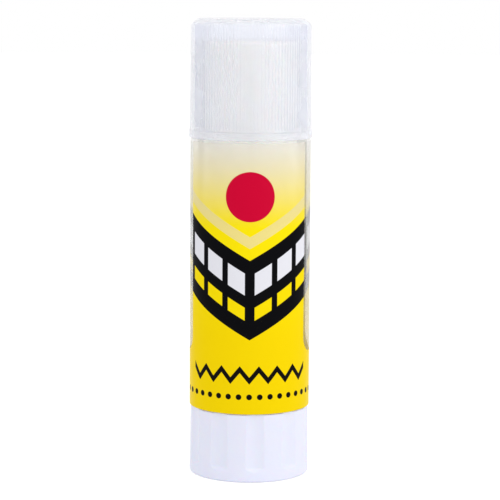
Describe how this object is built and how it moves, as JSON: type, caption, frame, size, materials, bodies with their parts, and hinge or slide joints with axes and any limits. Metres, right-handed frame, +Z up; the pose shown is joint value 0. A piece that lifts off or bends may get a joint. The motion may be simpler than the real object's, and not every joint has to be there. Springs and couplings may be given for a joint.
{
  "type": "glue stick",
  "caption": "Screw-up glue stick with a clear push-on cap, a labelled clear barrel and a fluted knob that turns a lead screw to raise the glue.",
  "frame": {"origin": "centre of the knob's foot, on the surface that the stick stands on", "axes": "+Z runs up the stick along its axis, and the front of the label faces -Y"},
  "size_m": [0.0266, 0.0266, 0.0987],
  "materials": {
    "clear_cap": "satin",
    "clear_barrel": "satin",
    "label_print": "gloss",
    "white_knob": "satin",
    "white_carrier": "satin",
    "white_screw": "satin",
    "glue": "satin"
  },
  "bodies": {
    "barrel": {"barrel": "clear_barrel", "label": "label_print"},
    "base": {"base_knob": "white_knob", "spindle": "white_screw"},
    "carrier": {"carrier": "white_carrier", "glue_stick": "glue"},
    "cap": {"cap": "clear_cap"}
  },
  "joints": [
    {"name": "base_turn", "type": "hinge", "parent": "barrel", "child": "base", "pos_m": [0, 0, 0], "axis": [0, 0, 1], "range_deg": [0, 2160]},
    {"name": "carrier_rise", "type": "slide", "parent": "barrel", "child": "carrier", "axis": [0, 0, 1], "range_m": [0, 0.054]},
    {"name": "cap_pull", "type": "slide", "parent": "carrier", "child": "cap", "axis": [0, 0, 1], "range_m": [0, 0.035]}
  ],
  "couplings": [
    {"joint": "base_turn", "follows": "carrier_rise", "rad_per_m": 698.13}
  ]
}
